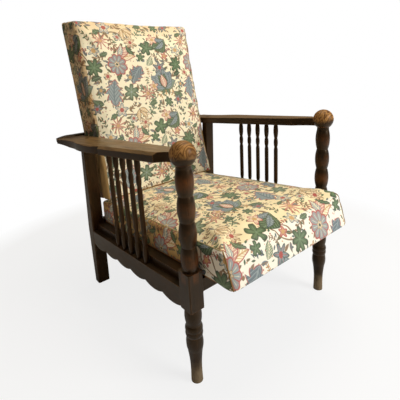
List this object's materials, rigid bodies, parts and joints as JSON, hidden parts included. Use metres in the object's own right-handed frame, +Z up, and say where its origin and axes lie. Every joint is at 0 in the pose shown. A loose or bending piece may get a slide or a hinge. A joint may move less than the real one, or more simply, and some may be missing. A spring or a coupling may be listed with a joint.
{
  "type": "reclining armchair",
  "caption": "Turned wooden armchair with bobbin posts, spindled sides and a floral seat that slides forward on sloping runners to recline its hinged back.",
  "frame": {"origin": "on the floor under the middle of the whole chair's box", "axes": "+X to the right as seen from the front, +Y to the rear, +Z up; the chair is symmetric across X"},
  "size_m": [0.701, 0.89, 0.9736],
  "materials": {
    "dark_wood": "dark stained and polished, worn on the arms and balls",
    "frame_wood": "bare orange-brown beech",
    "floral_cover": null,
    "plain_lining": "plain tan calico",
    "webbing": "woven jute",
    "hinge_steel": "dull steel"
  },
  "bodies": {
    "frame": {"front_post_left": "dark_wood", "rear_post_left": "dark_wood", "side_rail_left": "dark_wood", "runner_left": "dark_wood", "arm_left": "dark_wood", "spindle_left_1": "dark_wood", "spindle_left_2": "dark_wood", "spindle_left_3": "dark_wood", "spindle_left_4": "dark_wood", "spindle_left_5": "dark_wood", "front_post_right": "dark_wood", "rear_post_right": "dark_wood", "side_rail_right": "dark_wood", "runner_right": "dark_wood", "arm_right": "dark_wood", "spindle_right_1": "dark_wood", "spindle_right_2": "dark_wood", "spindle_right_3": "dark_wood", "spindle_right_4": "dark_wood", "spindle_right_5": "dark_wood", "front_rail": "dark_wood", "rear_rail": "dark_wood", "rear_cross_rail": "dark_wood"},
    "seat": {"seat_side_rail_left": "frame_wood", "seat_side_rail_right": "frame_wood", "seat_front_rail": "frame_wood", "seat_rear_rail": "frame_wood", "seat_corner_blocks": "frame_wood", "seat_webbing": "webbing", "seat_cushion": "floral_cover", "hinge_seat_leaf_left": "hinge_steel", "hinge_seat_leaf_right": "hinge_steel", "hinge_pin_left": "hinge_steel", "hinge_pin_right": "hinge_steel"},
    "back": {"back_bottom_board": "frame_wood", "back_stile_left": "frame_wood", "back_stile_right": "frame_wood", "back_top_rail": "frame_wood", "back_slat_1": "frame_wood", "back_slat_2": "frame_wood", "back_webbing": "webbing", "back_lining": "plain_lining", "back_cushion": "floral_cover", "hinge_back_leaf_left": "hinge_steel", "hinge_back_leaf_right": "hinge_steel"}
  },
  "joints": [
    {"name": "seat_slide", "type": "slide", "parent": "frame", "child": "seat", "axis": [0, -0.9961, 0.0882], "range_m": [0, 0.1]},
    {"name": "back_recline", "type": "hinge", "parent": "seat", "child": "back", "pos_m": [0, 0.25229, 0.33555], "axis": [-1, 0, 0], "range_deg": [0, 19.89]}
  ],
  "couplings": [
    {"joint": "back_recline", "follows": "seat_slide", "rad_per_m": 3.4622}
  ]
}
